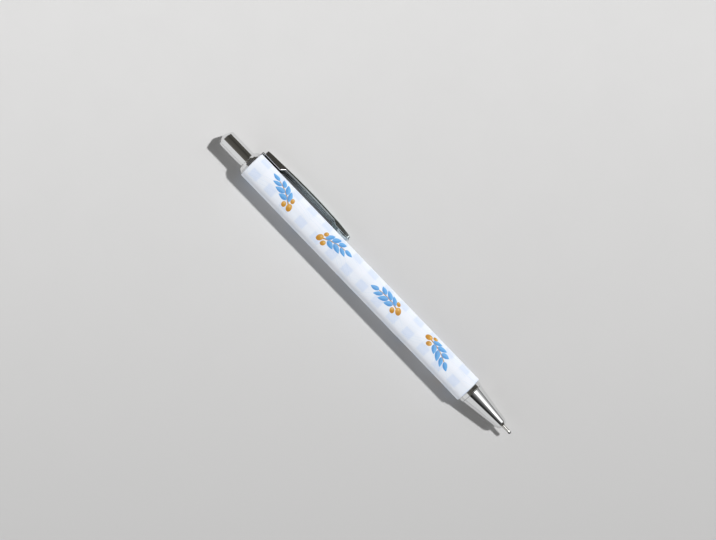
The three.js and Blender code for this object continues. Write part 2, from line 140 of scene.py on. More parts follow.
def lathe_parts(profile, seg, closed=True, radius_at=None):
    """Vertices and faces of a profile turned round the pen's axis. radius_at may change a radius by p, r and angle."""
    verts, faces, rings = [], [], []
    for p, r in profile:
        if r < 1e-6:
            rings.append([len(verts)])
            verts.append(place(p, 0.0, 0.0))
            continue
        ring = []
        for k in range(seg):
            a = 2 * math.pi * k / seg
            rr = r if radius_at is None else radius_at(p, r, a)
            ring.append(len(verts))
            verts.append(place(p, rr * math.cos(a), rr * math.sin(a)))
        rings.append(ring)
    pairs = list(zip(rings, rings[1:]))
    if closed:
        pairs.append((rings[-1], rings[0]))
    for a, b in pairs:
        if len(a) == 1 and len(b) == 1:
            continue
        for k in range(seg):
            m = (k + 1) % seg
            if len(a) == 1:
                faces.append((a[0], b[m], b[k]))
            elif len(b) == 1:
                faces.append((a[k], a[m], b[0]))
            else:
                faces.append((a[k], a[m], b[m], b[k]))
    return verts, faces


def lathe(name, corners, seg=128, closed=True, steps=5, radius_at=None, sharp=None):
    return new_object(name, *lathe_parts(rounded(corners, closed, steps), seg, closed, radius_at), sharp=sharp)


def joined(parts):
    """Several (verts, faces) lists as one."""
    verts, faces = [], []
    for v, f in parts:
        base = len(verts)
        verts.extend(v)
        faces.extend(tuple(i + base for i in face) for face in f)
    return verts, faces


# ------------------------------------------------------------------ node helpers
class Nodes:
    """A small way to write node trees as sums and products."""

    def __init__(self, tree):
        self.tree = tree
        tree.nodes.clear()

    def add(self, kind, **settings):
        node = self.tree.nodes.new(kind)
        for key, value in settings.items():
            setattr(node, key, value)
        return node

    def link(self, value, socket):
        if isinstance(value, bpy.types.NodeSocket):
            self.tree.links.new(value, socket)
        else:
            socket.default_value = value

    def math(self, op, a, b=0.0, c=0.0, clamp=False):
        node = self.add("ShaderNodeMath", operation=op, use_clamp=clamp)
        self.link(a, node.inputs[0])
        self.link(b, node.inputs[1])
        self.link(c, node.inputs[2])
        return node.outputs[0]

    def smooth(self, value, low, high, out_low=0.0, out_high=1.0):
        node = self.add("ShaderNodeMapRange", interpolation_type="SMOOTHSTEP")
        self.link(value, node.inputs["Value"])
        self.link(low, node.inputs["From Min"])
        self.link(high, node.inputs["From Max"])
        self.link(out_low, node.inputs["To Min"])
        self.link(out_high, node.inputs["To Max"])
        return node.outputs["Result"]

    def linear(self, value, low, high, out_low=0.0, out_high=1.0):
        node = self.add("ShaderNodeMapRange", interpolation_type="LINEAR")
        self.link(value, node.inputs["Value"])
        for key, v in (("From Min", low), ("From Max", high), ("To Min", out_low), ("To Max", out_high)):
            self.link(v, node.inputs[key])
        return node.outputs["Result"]

    def mix(self, factor, a, b):
        node = self.add("ShaderNodeMix", data_type="RGBA", blend_type="MIX")
        self.link(factor, node.inputs[0])
        self.link(a, node.inputs[6])
        self.link(b, node.inputs[7])
        return node.outputs[2]

    def place(self):
        """Object coordinates, split. They are the row frame's own, in metres."""
        coord = self.add("ShaderNodeTexCoord")
        split = self.add("ShaderNodeSeparateXYZ")
        self.tree.links.new(coord.outputs["Object"], split.inputs[0])
        return coord.outputs["Object"], split.outputs[0], split.outputs[1], split.outputs[2]

    def vector(self, x, y, z):
        node = self.add("ShaderNodeCombineXYZ")
        for v, s in zip((x, y, z), node.inputs):
            self.link(v, s)
        return node.outputs[0]

    def noise(self, vector, scale, detail=3.0, rough=0.5, distortion=0.0):
        node = self.add("ShaderNodeTexNoise")
        self.link(vector, node.inputs["Vector"])
        node.inputs["Scale"].default_value = scale
        node.inputs["Detail"].default_value = detail
        node.inputs["Roughness"].default_value = rough
        node.inputs["Distortion"].default_value = distortion
        return node.outputs["Fac"]

    def bump(self, height, distance, strength=1.0):
        node = self.add("ShaderNodeBump")
        node.inputs["Strength"].default_value = strength
        node.inputs["Distance"].default_value = distance
        self.link(height, node.inputs["Height"])
        return node.outputs["Normal"]


def srgb(r, g, b):
    """An 8-bit sRGB colour as linear RGBA."""
    def one(v):
        v /= 255.0
        return v / 12.92 if v <= 0.04045 else ((v + 0.055) / 1.055) ** 2.4
    return (one(r), one(g), one(b), 1.0)


def material(name):
    mat = bpy.data.materials.new(name)
    mat.use_nodes = True
    nodes = Nodes(mat.node_tree)
    shader = nodes.add("ShaderNodeBsdfPrincipled")
    out = nodes.add("ShaderNodeOutputMaterial")
    mat.node_tree.links.new(shader.outputs[0], out.inputs["Surface"])
    return mat, nodes, shader


def round_coords(n):
    """Along and around a piece that is turned about the pen's axis: x in metres and the angle in radians."""
    place_, x, y, z = n.place()
    zc = n.math("SUBTRACT", z, AXIS_Z * MM)
    return place_, x, n.math("ARCTAN2", y, zc)


# ------------------------------------------------------------------ materials
def chrome(name, tint=(0.82, 0.825, 0.83, 1.0), low=0.035, high=0.10, lines=0.0, wave=0.15, inside=None):
    """Bright plate: a faint haze of handling marks in the gloss, hairlines, and a very slight waviness.

    inside names a vertex value that is 1 in the recess of a pressing, where the colour is painted darker as shade
    towards the root and the gloss is rougher. Such a piece also has a second vertex value, which is 1 where a
    blue-green cast is painted in as a reflection of the pale blue barrel.
    """
    mat, n, s = material(name)
    where, x, around = round_coords(n)
    haze = n.noise(where, 180.0, 4.0, 0.55, 0.4)
    smear = n.smooth(haze, 0.42, 0.68)
    hair_at = n.vector(n.math("MULTIPLY", x, 9000.0), n.math("MULTIPLY", around, 5.0), 0.0)
    hair = n.smooth(n.noise(hair_at, 1.0, 2.0, 0.6), 0.60, 0.72)
    rough = n.math("ADD", n.math("MULTIPLY", smear, high - low), low)
    rough = n.math("ADD", rough, n.math("MULTIPLY", hair, 0.03 + lines))
    base = n.mix(n.math("MULTIPLY", smear, 0.5), tint, tuple(v * 0.93 for v in tint[:3]) + (1.0,))
    if inside:
        # painted reflection: a blue-green cast, rising along the pen, that stands in for the pale blue barrel mirrored
        # in the plate
        barrel_reflection_tint = n.add("ShaderNodeAttribute", attribute_name="barrel_reflection_tint").outputs[2]
        base = n.mix(barrel_reflection_tint, base, (0.76, 0.84, 0.85, 1.0))
        # painted shade: inside the pressing the colour goes dark grey near the root, turning to the painted blue-green
        # reflection further along; the gloss there is also rougher
        deep = n.add("ShaderNodeAttribute", attribute_name=inside).outputs[2]
        base = n.mix(deep, base, n.mix(barrel_reflection_tint, (0.27, 0.28, 0.28, 1.0), (0.80, 0.87, 0.88, 1.0)))
        rough = n.math("ADD", rough, n.math("MULTIPLY", deep, 0.17))
    n.link(rough, s.inputs["Roughness"])
    n.link(base, s.inputs["Base Color"])
    s.inputs["Metallic"].default_value = 1.0
    height = n.math("ADD", n.noise(where, 420.0, 2.0, 0.5), n.math("MULTIPLY", hair, 0.12))
    n.link(n.bump(height, 0.00001, wave), s.inputs["Normal"])
    return mat


def turned_metal(name, colour, low, high, pitch=0.00012, depth=0.000004, inked=False):
    """Metal with the fine rings that a lathe leaves round it. inked: the vertex value "ink" is 1 where ink covers it."""
    mat, n, s = material(name)
    where, x, around = round_coords(n)
    wobble = n.noise(where, 900.0, 2.0)
    phase = n.math("MULTIPLY", n.math("ADD", x, n.math("MULTIPLY", wobble, pitch)), 2 * math.pi / pitch)
    rings = n.math("MULTIPLY", n.math("ADD", n.math("SINE", phase), 1.0), 0.5)
    stain = n.noise(where, 350.0, 4.0, 0.6)
    n.link(n.linear(stain, 0.3, 0.7, low, high), s.inputs["Roughness"])
    dark = tuple(v * 0.82 for v in colour[:3]) + (1.0,)
    base = n.mix(n.math("MULTIPLY", rings, 0.35), colour, dark)
    if inked:
        base = n.mix(n.add("ShaderNodeAttribute", attribute_name="ink").outputs[2], base, (0.05, 0.05, 0.055, 1.0))
    n.link(base, s.inputs["Base Color"])
    s.inputs["Metallic"].default_value = 1.0
    n.link(n.bump(rings, depth, 0.5), s.inputs["Normal"])
    return mat


def drawn_metal(name, colour, low, high):
    """Tube or wire with fine lines along the pen."""
    mat, n, s = material(name)
    where, x, around = round_coords(n)
    lines = n.noise(n.vector(n.math("MULTIPLY", x, 40.0), n.math("MULTIPLY", around, 60.0), 0.0), 1.0, 4.0, 0.7)
    stain = n.noise(where, 260.0, 3.0)
    n.link(n.linear(n.math("ADD", n.math("MULTIPLY", lines, 0.6), n.math("MULTIPLY", stain, 0.4)), 0.3, 0.7, low, high), s.inputs["Roughness"])
    dark = tuple(v * 0.85 for v in colour[:3]) + (1.0,)
    n.link(n.mix(lines, colour, dark), s.inputs["Base Color"])
    s.inputs["Metallic"].default_value = 1.0
    n.link(n.bump(lines, 0.000005, 0.4), s.inputs["Normal"])
    return mat


def moulded(name, colour, rough, grain=0.4, subsurface=0.0):
    """Moulded plastic: a fine satin grain and slight flow marks."""
    mat, n, s = material(name)
    where, x, around = round_coords(n)
    fine = n.noise(where, 5200.0, 2.0)
    flow = n.noise(n.vector(n.math("MULTIPLY", x, 60.0), n.math("MULTIPLY", around, 2.2), 0.0), 1.0, 3.0, 0.5, 0.8)
    light = tuple(min(1.0, v * 1.05) for v in colour[:3]) + (1.0,)
    dark = tuple(v * 0.92 for v in colour[:3]) + (1.0,)
    n.link(n.mix(flow, light, dark), s.inputs["Base Color"])
    n.link(n.linear(fine, 0.3, 0.7, rough - 0.05, rough + 0.07), s.inputs["Roughness"])
    if subsurface:
        s.inputs["Subsurface Weight"].default_value = subsurface
        s.inputs["Subsurface Radius"].default_value = (0.0012, 0.0012, 0.0012)
        s.inputs["Subsurface Scale"].default_value = 1.0
    n.link(n.bump(fine, 0.00001, grain), s.inputs["Normal"])
    return mat


def leaf_group():
    """Inputs X and Y in millimetres, centre, angle, half length and half width: how far a point is inside a pointed leaf."""
    tree = bpy.data.node_groups.new("leaf", "ShaderNodeTree")
    for key in ("X", "Y", "CX", "CY", "Cos", "Sin", "Long", "Wide"):
        tree.interface.new_socket(key, in_out="INPUT", socket_type="NodeSocketFloat")
    for key in ("Mask", "Along", "Across"):
        tree.interface.new_socket(key, in_out="OUTPUT", socket_type="NodeSocketFloat")
    n = Nodes(tree)
    i = n.add("NodeGroupInput").outputs
    o = n.add("NodeGroupOutput").inputs
    dx = n.math("SUBTRACT", i["X"], i["CX"])
    dy = n.math("SUBTRACT", i["Y"], i["CY"])
    u = n.math("DIVIDE", n.math("ADD", n.math("MULTIPLY", dx, i["Cos"]), n.math("MULTIPLY", dy, i["Sin"])), i["Long"])
    v = n.math("SUBTRACT", n.math("MULTIPLY", dy, i["Cos"]), n.math("MULTIPLY", dx, i["Sin"]))
    # the leaf's half width at u, fuller towards its base
    u2 = n.math("MULTIPLY", u, u)
    body = n.math("SUBTRACT", 1.0, u2, clamp=True)
    lean = n.math("SUBTRACT", 1.0, n.math("MULTIPLY", u, 0.28))
    width = n.math("MULTIPLY", n.math("MULTIPLY", n.math("POWER", body, 0.8), lean), i["Wide"])
    inside = n.math("SUBTRACT", width, n.math("ABSOLUTE", v))
    n.link(n.smooth(inside, -0.05, 0.05), o["Mask"])
    n.link(u, o["Along"])
    n.link(n.math("DIVIDE", v, i["Wide"]), o["Across"])
    return tree


LEAF = leaf_group()


def printed_film():
    """White film with a pale blue gingham check and, over it, scattered sprigs of blue leaves with tan berries."""
    mat, n, s = material("printed_film")
    where, x, around = round_coords(n)
    along = n.math("MULTIPLY", x, 1000.0)  # mm, from the pen's middle
    arc = n.math("MULTIPLY", around, 5.0)  # mm round the barrel, 0 at its top, positive towards the clip

    # the check: two sets of soft-edged stripes, each as wide as its gap
    def stripes(value, period, offset):
        f = n.math("FRACT", n.math("ADD", n.math("DIVIDE", value, period), offset))
        tri = n.math("ABSOLUTE", n.math("SUBTRACT", f, 0.5))
        return n.smooth(tri, 0.195, 0.305)

    s1 = stripes(along, 7.4, 0.13)
    s2 = stripes(arc, 2 * math.pi * 5.0 / 5, 0.25)
    both = n.math("MULTIPLY", s1, s2)
    either = n.math("MULTIPLY", n.math("ADD", s1, s2), 0.5)
    weave = n.noise(n.vector(n.math("MULTIPLY", along, 1.0), n.math("MULTIPLY", arc, 1.0), 0.0), 1.7, 3.0, 0.6)
    white = srgb(229, 233, 240)
    pale = srgb(222, 229, 238)
    blue = srgb(208, 219, 237)
    ground = n.mix(either, white, pale)
    ground = n.mix(n.math("MULTIPLY", both, 0.8), ground, blue)
    ground = n.mix(n.linear(weave, 0.35, 0.65, 0.0, 0.22), ground, srgb(230, 230, 240))

    # sprigs in two staggered rows round the barrel
    rows = 2 * math.pi * 5.0 / 2
    pitch = 25.0
    shifted = n.math("ADD", n.math("DIVIDE", arc, rows), 0.40)
    row = n.math("FLOOR", shifted)
    y0 = n.math("MULTIPLY", n.math("SUBTRACT", n.math("SUBTRACT", shifted, row), 0.5), rows)
    wrapped = n.math("WRAP", row, 2.0, 0.0)
    moved = n.math("ADD", n.math("DIVIDE", n.math("ADD", along, 4.5), pitch), n.math("MULTIPLY", wrapped, 0.5))
    col = n.math("FLOOR", moved)
    x0 = n.math("MULTIPLY", n.math("SUBTRACT", n.math("SUBTRACT", moved, col), 0.5), pitch)
    # each sprig leans its own way, and every other one is turned end for end
    seed = n.math("ADD", n.math("MULTIPLY", col, 1.7), n.math("MULTIPLY", wrapped, 4.1))
    lean = n.math("MULTIPLY", n.math("SINE", n.math("MULTIPLY", seed, 2.3)), 0.42)
    flip = n.math("SUBTRACT", n.math("MULTIPLY", n.math("FLOORED_MODULO", n.math("ADD", col, wrapped), 2.0), 2.0), 1.0)
    ca, sa = n.math("COSINE", lean), n.math("SINE", lean)
    xr = n.math("ADD", n.math("MULTIPLY", x0, ca), n.math("MULTIPLY", y0, sa))
    yr = n.math("SUBTRACT", n.math("MULTIPLY", y0, ca), n.math("MULTIPLY", x0, sa))
    # the motif is drawn in units of 0.82 mm
    xr = n.math("MULTIPLY", xr, n.math("MULTIPLY", flip, 1 / 0.82))
    yr = n.math("MULTIPLY", yr, 1 / 0.82)
    # the stem bows
    yr = n.math("SUBTRACT", yr, n.math("SUBTRACT", 0.55, n.math("MULTIPLY", n.math("MULTIPLY", xr, xr), 0.022)))

    def leaf(cx, cy, deg, long_, wide):
        g = n.add("ShaderNodeGroup", node_tree=LEAF)
        a = math.radians(deg)
        for key, v in (("X", xr), ("Y", yr), ("CX", cx), ("CY", cy), ("Cos", math.cos(a)), ("Sin", math.sin(a)), ("Long", long_), ("Wide", wide)):
            n.link(v, g.inputs[key])
        return g.outputs["Mask"], g.outputs["Along"], g.outputs["Across"]

    def dot(cx, cy, r):
        dx = n.math("SUBTRACT", xr, cx)
        dy = n.math("SUBTRACT", yr, cy)
        d = n.math("SQRT", n.math("ADD", n.math("MULTIPLY", dx, dx), n.math("MULTIPLY", dy, dy)))
        return n.math("SUBTRACT", r, d), dx, dy

    colour = ground
    stem_half = n.linear(xr, -6.0, 6.0, 0.30, 0.14)
    stem = n.smooth(n.math("SUBTRACT", stem_half, n.math("ABSOLUTE", yr)), -0.05, 0.05)
    ends = n.math("MULTIPLY", n.smooth(xr, -6.3, -6.1), n.smooth(xr, 6.1, 6.3, 1.0, 0.0))
    colour = n.mix(n.math("MULTIPLY", stem, ends), colour, srgb(188, 142, 62))
    deep, light = srgb(92, 155, 212), srgb(114, 178, 227)
    pairs = [
        (-3.1, 1.45, 38, 2.15, 1.06), (-1.9, -1.50, -38, 2.15, 1.06),
        (-0.1, 1.60, 36, 2.30, 1.12), (1.1, -1.60, -36, 2.30, 1.12),
        (2.9, 1.45, 34, 2.05, 1.02), (4.0, -1.35, -33, 1.95, 0.96), (6.6, 0.05, 2, 1.95, 1.02),
    ]
    for cx, cy, deg, long_, wide in pairs:
        mask, u, v = leaf(cx, cy, deg, long_, wide)
        tone = n.mix(n.smooth(n.math("ADD", v, n.math("MULTIPLY", u, 0.25)), -0.5, 0.5), deep, light)
        vein = n.math("MULTIPLY", n.smooth(n.math("ABSOLUTE", v), 0.03, 0.09, 1.0, 0.0), n.smooth(u, -0.9, 0.7, 0.55, 0.0))
        tone = n.mix(vein, tone, srgb(168, 201, 228))
        colour = n.mix(mask, colour, tone)
    for cx, cy, r in ((-7.1, 0.15, 1.45), (-4.9, -1.9, 1.15), (-5.2, 2.05, 1.0)):
        inside, dx, dy = dot(cx, cy, r)
        tone = n.mix(n.smooth(n.math("ADD", dx, dy), -r, r), srgb(188, 135, 47), srgb(213, 166, 82))
        spark = n.smooth(dot(cx + r * 0.3, cy + r * 0.35, r * 0.28)[0], -0.06, 0.06)
        tone = n.mix(n.math("MULTIPLY", spark, 0.6), tone, srgb(226, 198, 140))
        colour = n.mix(n.smooth(inside, -0.05, 0.05), colour, tone)
    n.link(colour, s.inputs["Base Color"])

    grain = n.noise(where, 2600.0, 3.0)
    soft = n.noise(where, 120.0, 3.0)
    n.link(n.linear(n.math("ADD", n.math("MULTIPLY", grain, 0.4), n.math("MULTIPLY", soft, 0.6)), 0.35, 0.65, 0.46, 0.58), s.inputs["Roughness"])
    s.inputs["Diffuse Roughness"].default_value = 0.6
    s.inputs["Specular IOR Level"].default_value = 0.2
    s.inputs["Coat Weight"].default_value = 0.02
    s.inputs["Coat Roughness"].default_value = 0.22
    n.link(n.bump(n.math("ADD", n.math("MULTIPLY", grain, 0.3), soft), 0.00002, 0.25), s.inputs["Normal"])
    return mat


MATS = {
    "sleeve_print": printed_film(),
    "chrome": chrome("chrome_plate"),
    "clip_chrome": chrome("clip_chrome_plate", low=0.045, high=0.11, wave=0.12, inside="shaded_hollow"),
    "tube_aluminium": drawn_metal("drawn_aluminium", (0.77, 0.78, 0.80, 1.0), 0.24, 0.40),
    "guide_acetal": moulded("natural_acetal", (0.86, 0.85, 0.80, 1.0), 0.42, subsurface=0.08),
    "cam_acetal": moulded("grey_acetal", (0.10, 0.105, 0.12, 1.0), 0.38),
    "insert_brass": turned_metal("turned_brass", (0.80, 0.62, 0.30, 1.0), 0.18, 0.34),
    "spring_steel": drawn_metal("spring_wire", (0.60, 0.60, 0.61, 1.0), 0.16, 0.30),
    "refill_plastic": moulded("refill_polypropylene", (0.82, 0.85, 0.87, 1.0), 0.28, grain=0.2, subsurface=0.15),
    "ink": moulded("ink_paste", (0.012, 0.012, 0.02, 1.0), 0.16, grain=0.1),
    "point_metal": turned_metal("turned_nickel_silver", (0.72, 0.71, 0.685, 1.0), 0.17, 0.21, pitch=0.00009, depth=0.000001, inked=True),
    "ball_carbide": turned_metal("ball_carbide", (0.16, 0.16, 0.17, 1.0), 0.10, 0.24, pitch=0.00006, depth=0.000001),
}


def finish_piece(obj, slot, body=None, nodes=()):
    obj.data.materials.clear()
    obj.data.materials.append(MATS[slot])
    if nodes:
        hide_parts(*nodes)
    if body:
        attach(obj, body)
    return obj


# ------------------------------------------------------------------ barrel
sleeve = lathe(
    "barrel_sleeve",
    [(13.75, 4.65, 0.03), (119.35, 4.65, 0.03), (119.35, 5.0, 0.10), (13.75, 5.0, 0.10)],
    seg=192,
)
finish_piece(sleeve, "sleeve_print", "barrel", ["printed_sleeve"])

tube = lathe("inner_tube", [(13.8, 4.0, 0.08), (119.25, 4.0, 0.08), (119.25, 4.6, 0.1), (13.8, 4.6, 0.1)], seg=96)
finish_piece(tube, "tube_aluminium", "barrel", ["barrel_tube"])

collar = lathe(
    "button_collar",
    [
        (11.7, 3.25, 0.12), (11.7, 3.55, 0.14), (12.0, 3.95, 0.5), (12.6, 4.42, 1.2), (13.2, 4.7, 0.5),
        (13.3, 4.7, 0.05), (13.3, 3.9, 0.05), (16.75, 3.9, 0.08), (17.0, 3.7, 0.08), (17.0, 3.25, 0.06),
    ],
    seg=160,
)
finish_piece(collar, "chrome", "barrel", ["top_collar"])


def thread(p, a, start, end, fade=0.35):
    """0 to 1: how far a thread's ridge stands up at p and angle a, for a pitch of 1 mm."""
    f = (p - a / (2 * math.pi)) % 1.0
    d = min(f, 1.0 - f)
    ridge = min(1.0, max(0.0, (0.30 - d) / 0.17))
    ends = min(1.0, max(0.0, (p - start) / fade)) * min(1.0, max(0.0, (end - p) / fade))
    return ridge * ends


insert_line = rounded([(114.4, 3.42, 0.05), (114.6, 3.42)], False)
bore = [(114.4 + 0.06 * k, 3.42) for k in range(81)]
insert_line = bore + rounded([(119.2, 3.42), (119.2, 3.9, 0.06), (114.75, 3.9, 0.1), (114.4, 3.72, 0.06), (114.4, 3.42)], False)[1:-1]
insert_line = [pt for k, pt in enumerate(insert_line) if k == 0 or math.dist(pt, insert_line[k - 1]) > 1e-4]


def bore_radius(p, r, a):
    return r + (0.26 * thread(p, a, 113.5, 120.5) if abs(r - 3.42) < 1e-6 and 114.4 < p < 119.2 else 0.0)


insert = new_object("threaded_insert", *lathe_parts(insert_line, 96, True, bore_radius), sharp=35)
finish_piece(insert, "insert_brass", "barrel", ["front_bushing"])


# ------------------------------------------------------------------ clip, one pressing with its mounting ring
ROWS = np.array(
    [
        # p, n of the plate's outer face, half width, n of the walls' lower edge
        [14.2, 7.1, 2.46, 5.25],
        [15.0, 7.2, 2.46, 5.25],
        [17.0, 7.36, 2.41, 5.25],
        [19.5, 7.5, 2.355, 5.25],
        [21.8, 7.64, 2.295, 5.25],
        [23.2, 7.80, 2.235, 6.82],
        [26.0, 8.01, 2.14, 6.99],
        [29.0, 8.14, 2.09, 7.12],
        [32.0, 8.21, 2.06, 7.2],
        [36.0, 8.24, 2.04, 7.24],
        [40.0, 8.2, 2.03, 7.22],
        [43.0, 8.12, 1.99, 7.16],
        [46.5, 7.98, 1.9, 7.04],
        [48.2, 7.87, 1.84, 6.05],
        [50.0, 7.73, 1.78, 6.03],
        [52.0, 7.57, 1.7, 6.02],
        [53.5, 7.42, 1.62, 6.02],
        [54.3, 7.29, 1.5, 6.04],
        [54.95, 7.12, 1.4, 6.12],
    ]
)


def spline(xs, ys, x):
    """A smooth curve through the points, as Hermite pieces."""
    m = np.gradient(ys, xs)
    i = int(np.clip(np.searchsorted(xs, x) - 1, 0, len(xs) - 2))
    h = xs[i + 1] - xs[i]
    f = (x - xs[i]) / h
    f = min(1.0, max(0.0, f))
    return (
        (2 * f**3 - 3 * f**2 + 1) * ys[i]
        + (f**3 - 2 * f**2 + f) * h * m[i]
        + (-2 * f**3 + 3 * f**2) * ys[i + 1]
        + (f**3 - f**2) * h * m[i + 1]
    )


def plate_n(p):
    return spline(ROWS[:, 0], ROWS[:, 1], p) - 0.35 * max(0.0, (p - 54.1) / 0.85) ** 2


def plate_half(p):
    return spline(ROWS[:, 0], ROWS[:, 2], p)


def wall_edge(p):
    """The walls' lower edge, with the corners of its two steps slightly rounded."""
    return float(np.mean([np.interp(p + d, ROWS[:, 0], ROWS[:, 3]) for d in (-0.12, -0.06, 0.0, 0.06, 0.12)]))


def bend_at(p):
    """Outer radius of the bend between the plate and the walls: tight at the root and the tip, easy along the blade."""
    return float(np.interp(p, [21.9, 24.5, 45.0, 48.0, 53.5, 54.9], [0.40, 0.60, 0.60, 0.40, 0.40, 0.34]))


def lip_at(p):
    """Radius that the walls' lower edge is rounded by on its outer side, most at the step behind the root."""
    return float(np.interp(p, [21.0, 21.9, 23.1, 23.9, 53.0, 54.5], [0.15, 0.34, 0.34, 0.15, 0.15, 0.10]))


TIP_FROM, TIP_END, ROOT = 53.5, 54.95, 14.2
side_p = [15.0, 15.6, 16.4, 17.2, 18.0, 19.0, 20.0, 20.8, 21.3]
side_p += [21.5 + 0.1 * k for k in range(21)] + [24.0 + 0.75 * k for k in range(30)]
side_p += [46.2 + 0.12 * k for k in range(20)] + [49.0, 49.6, 50.2, 50.8, 51.4, 52.0, 52.5, 53.0]


def outline(inset):
    """Half of the clip's plan, inset by inset(p): a list of (p, t) with the same count each time."""
    root, tip = inset(ROOT), inset(54.0)
    corner = max(0.05, 0.5 - root)
    half = []
    for k in range(7):  # root corner, from the end face round to the side
        a = math.pi / 2 * k / 6
        half.append((ROOT + root + corner * (1 - math.cos(a)), plate_half(ROOT) - root - corner * (1 - math.sin(a))))
    half += [(p, plate_half(p) - inset(p)) for p in side_p]
    a_p, a_t = TIP_END - TIP_FROM - tip, plate_half(TIP_FROM) - tip
    for k in range(15):  # round the tip
        a = math.pi / 2 * k / 14
        half.append((TIP_FROM + a_p * math.sin(a) ** (2 / 2.6), a_t * math.cos(a) ** (2 / 2.6) if k < 14 else 0.0))
    return half


def pan():
    """The pressed channel, as loops from the middle of its plate out, over the bend, down the wall and back inside."""
    sheet, inner_lip = 0.45, 0.08

    def inner(p):
        return max(0.12, bend_at(p) - sheet)

    def quarter(steps):
        return [(math.sin(math.pi / 2 * k / steps), math.cos(math.pi / 2 * k / steps)) for k in range(steps + 1)]

    loops = [(lambda p: bend_at(p) + 0.08, plate_n, lambda p: 0.0)]
    loops += [(lambda p, s=s: bend_at(p) * (1 - s), plate_n, lambda p, c=c: -bend_at(p) * (1 - c)) for s, c in quarter(7)]
    loops += [(lambda p: 0.0, plate_n, lambda p: -bend_at(p) - 0.05), (lambda p: 0.0, wall_edge, lambda p: lip_at(p) + 0.05)]
    loops += [(lambda p, c=c: lip_at(p) * (1 - c), wall_edge, lambda p, s=s: lip_at(p) * (1 - s)) for s, c in quarter(6)]
    loops += [(lambda p, s=s: sheet - inner_lip * (1 - s), wall_edge, lambda p, c=c: inner_lip * (1 - c)) for s, c in quarter(3)]
    loops += [(lambda p: sheet, wall_edge, lambda p: inner_lip + 0.05)]
    loops += [(lambda p, c=c: sheet + inner(p) * (1 - c), plate_n, lambda p, s=s: -sheet - inner(p) * (1 - s)) for s, c in quarter(4)]
    loops += [(lambda p: sheet + inner(p) + 0.08, plate_n, lambda p: -sheet)]
    verts, faces, index = [], [], []
    for inset, datum, shift in loops:
        half = outline(inset)
        ring = []
        for side, part in ((1.0, half), (-1.0, half[-2::-1])):
            for p, t in part:
                ring.append(len(verts))
                verts.append(place(p, datum(p) + shift(p), side * t, CLIP_ANGLE))
        index.append(ring)
    count = len(index[0])
    for a, b in zip(index, index[1:]):
        for k in range(count):
            m = (k + 1) % count
            faces.append((a[k], a[m], b[m], b[k]))
    for ring in (index[0], index[-1]):
        for k in range((count - 1) // 2):
            a, b, c, d = ring[k], ring[k + 1], ring[count - 2 - k], ring[count - 1 - k]
            faces.append((a, b, c, d) if b != c else (a, b, d))
    return verts, faces


def shaded_hollow(p, n, t):
    """1 for a point inside the pressing or on its mounting tab, which the clip's material paints darker as shade and
    makes rougher.
    """
    if p < 14.1:
        return 1.0 if n > 4.75 else 0.0
    if n < 5.95 + 0.3 * abs(t) and p > 49.0:
        return 0.0
    return 1.0 if abs(t) < plate_half(p) - 0.26 and p > ROOT + 0.26 and n < plate_n(p) - 0.26 else 0.0


def tip_end(t):
    """How far the clip's rounded end reaches at t across it."""
    return TIP_FROM + (TIP_END - TIP_FROM) * (1 - min(1.0, abs(t) / plate_half(TIP_FROM)) ** 2.6) ** (1 / 2.6)


def strip(side, half, edge=0.05, crown=0.0):
    """A bent strip: its side view, a closed list of (p, n, fillet), run across t with softened edges.

    crown is how much further from the barrel its two edges are than its middle.
    """
    line = rounded(side, True, 5)
    pts = np.array(line)
    # the outward direction at each point, for the softened edges
    d = np.roll(pts, -1, axis=0) - np.roll(pts, 1, axis=0)
    out = np.stack([d[:, 1], -d[:, 0]], 1)
    out /= np.linalg.norm(out, axis=1)[:, None]
    area = 0.5 * np.sum(pts[:, 0] * np.roll(pts[:, 1], -1) - np.roll(pts[:, 0], -1) * pts[:, 1])
    if area < 0:
        out = -out
    verts, faces, rings = [], [], []
    turn = [(edge * (1 - math.sin(a)), edge * (1 - math.cos(a))) for a in (math.pi / 2 * k / 4 for k in range(5))]
    stations = [(inset, -half + back) for inset, back in turn]
    if crown:
        stations += [(0.0, (half - edge) * k / 7) for k in range(-6, 7)]
    stations += [(inset, half - back) for inset, back in turn[::-1]]
    for inset, t in stations:
        ring = []
        for (p, n) in pts - out * inset:
            ring.append(len(verts))
            if crown:  # it stays inside the pressing's rounded end
                p = min(p, tip_end(t) - 0.08)
                n = min(n + crown * (t / half) ** 2, plate_n(p) - 0.12)
            verts.append(place(p, n, t, CLIP_ANGLE))
        rings.append(ring)
    count = len(line)
    for a, b in zip(rings, rings[1:]):
        for k in range(count):
            m = (k + 1) % count
            faces.append((a[k], a[m], b[m], b[k]))
    faces.append(tuple(rings[0]))
    faces.append(tuple(rings[-1][::-1]))
    return verts, faces


tab_side = [
    (13.36, 4.3, 0.0), (13.36, 5.62, 0.30), (14.5, 5.62, 0.0), (14.5, 5.27, 0.0), (13.69, 5.27, 0.05), (13.69, 4.3, 0.0),
]
foot_side = [
    (54.55, 6.9, 0.0), (54.72, 6.2, 0.25), (54.4, 5.62, 0.6), (53.5, 5.17, 1.2), (52.1, 5.04, 2.5), (50.7, 5.16, 1.2),
    (49.5, 5.66, 0.12), (49.62, 6.0, 0.12), (50.85, 5.5, 0.9), (52.1, 5.40, 2.2), (53.35, 5.53, 0.9), (54.05, 5.9, 0.4), (54.2, 6.9, 0.0),
]
washer = lathe_parts(rounded([(13.35, 4.02, 0.04), (13.7, 4.02, 0.04), (13.7, 4.7, 0.07), (13.35, 4.7, 0.07)], True, 4), 128)
clip = new_object("pressed_clip", *joined([pan(), strip(tab_side, 1.8), strip(foot_side, 1.38, 0.16, 0.62), washer]), sharp=38)
# painted shade: 1 inside the pressing and on its tab, where the clip's colour is painted darker
painted_shade_at = clip.data.attributes.new("shaded_hollow", "FLOAT", "POINT")
